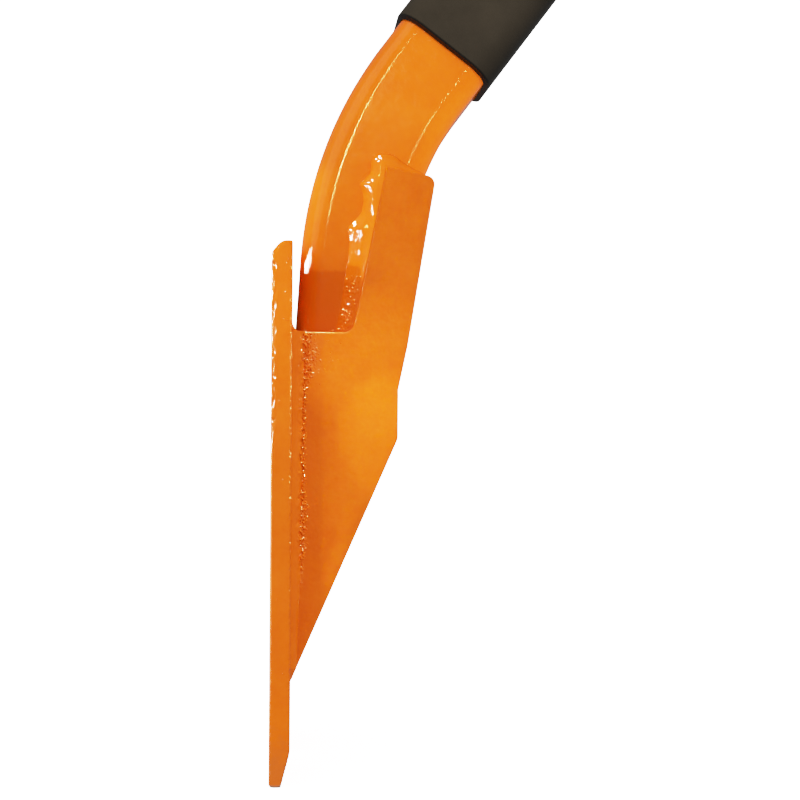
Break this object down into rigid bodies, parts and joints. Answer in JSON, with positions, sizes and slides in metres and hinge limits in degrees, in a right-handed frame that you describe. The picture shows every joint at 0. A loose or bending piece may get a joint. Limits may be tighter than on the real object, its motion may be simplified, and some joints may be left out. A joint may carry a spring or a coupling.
{
  "type": "demolition bar",
  "caption": "Long-handled demolition bar: flat chisel blade with heel, welded gussets, bent square tube handle and black rubber grip sleeve.",
  "frame": {"origin": "centre of the sole, the flat front face of the blade, half way between tip and heel", "axes": "+X from the sole towards the handle, +Y across the blade, +Z along the blade from the tip to the heel; the bar stands upright on its tip"},
  "size_m": [0.5439, 0.08, 0.9062],
  "materials": {
    "paint": "glossy orange paint over steel, with a slight orange peel",
    "weld_paint": "glossy orange paint over rough weld beads",
    "grip_rubber": "matte black rubber",
    "plug_plastic": "matte black plastic"
  },
  "bodies": {
    "root": {"blade": "paint", "gusset_left": "paint", "gusset_right": "paint", "handle_tube": "paint", "weld_blade_left": "weld_paint", "weld_blade_right": "weld_paint", "weld_arm_front_left": "weld_paint", "weld_arm_front_right": "weld_paint", "weld_arm_top_left": "weld_paint", "weld_arm_top_right": "weld_paint", "weld_arm_back_left": "weld_paint", "weld_arm_back_right": "weld_paint", "weld_tube_foot": "weld_paint", "grip_sleeve": "grip_rubber", "end_plug": "plug_plastic"}
  },
  "joints": []
}
